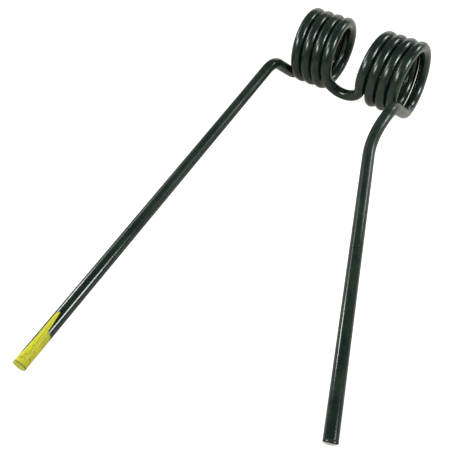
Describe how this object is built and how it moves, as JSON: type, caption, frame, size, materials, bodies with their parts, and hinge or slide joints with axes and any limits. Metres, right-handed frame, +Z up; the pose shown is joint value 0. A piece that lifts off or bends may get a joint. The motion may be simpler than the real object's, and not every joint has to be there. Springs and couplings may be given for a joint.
{
  "type": "rotary rake tine",
  "caption": "Double spring tine of round wire for a rotary rake: paired coils joined by a clamp loop, with long bent legs splayed unequally.",
  "frame": {"origin": "middle of the common axis of the two coils, halfway between them", "axes": "+X along the coils' axis towards the coil with the outward-splayed leg, -Y the way the legs point, +Z up with the tine lying on its coils and leg tips"},
  "size_m": [0.2207, 0.4252, 0.067],
  "materials": {
    "green_black_paint": "gloss dark green-black paint on spring wire, with a yellow brushed end on the left leg"
  },
  "bodies": {
    "root": {"spring_tine": "green_black_paint"}
  },
  "joints": []
}
